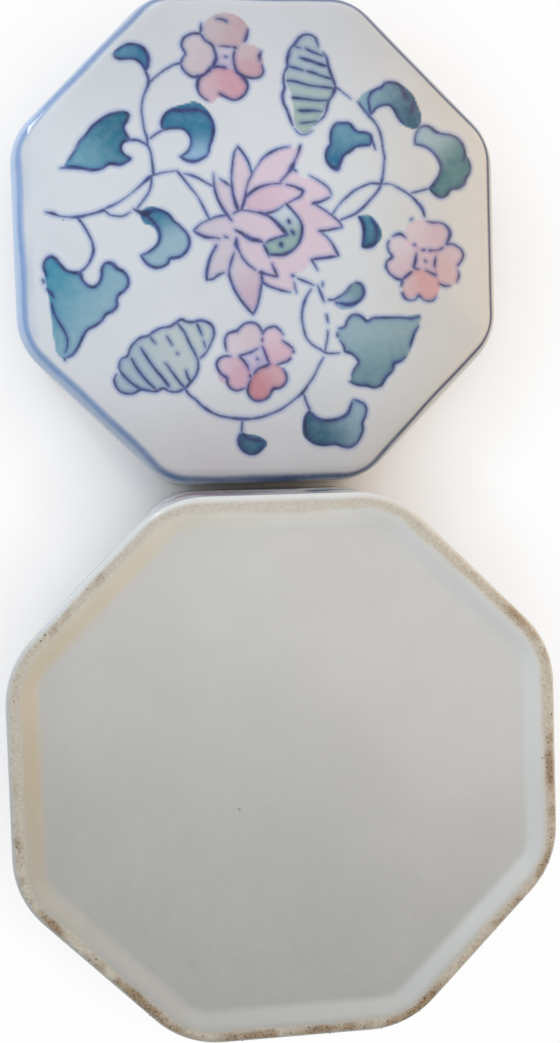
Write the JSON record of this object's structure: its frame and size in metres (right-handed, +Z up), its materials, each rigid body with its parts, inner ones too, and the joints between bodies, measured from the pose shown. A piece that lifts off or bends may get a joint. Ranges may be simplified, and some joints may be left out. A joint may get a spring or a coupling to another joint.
{
  "type": "lidded porcelain box",
  "caption": "Octagonal porcelain keepsake box, painted with flowers and scrolls: a base with foot ring and locating flange, turned over beside its loose lid.",
  "frame": {"origin": "middle of the surface that both pieces stand on, halfway between the lid and the base", "axes": "+Z up, +Y from the turned-over base to the lid, +X across both pieces"},
  "size_m": [0.076, 0.1526, 0.042],
  "materials": {
    "lid_porcelain": "clear gloss glaze over underglaze painting",
    "base_porcelain": "clear gloss glaze, left off the crest of the foot ring"
  },
  "bodies": {
    "base": {"base": "base_porcelain"},
    "lid": {"lid": "lid_porcelain"}
  },
  "joints": [
    {"name": "lid_lift", "type": "slide", "parent": "base", "child": "lid", "axis": [0, 0, 1], "range_m": [0, 0.06]}
  ]
}
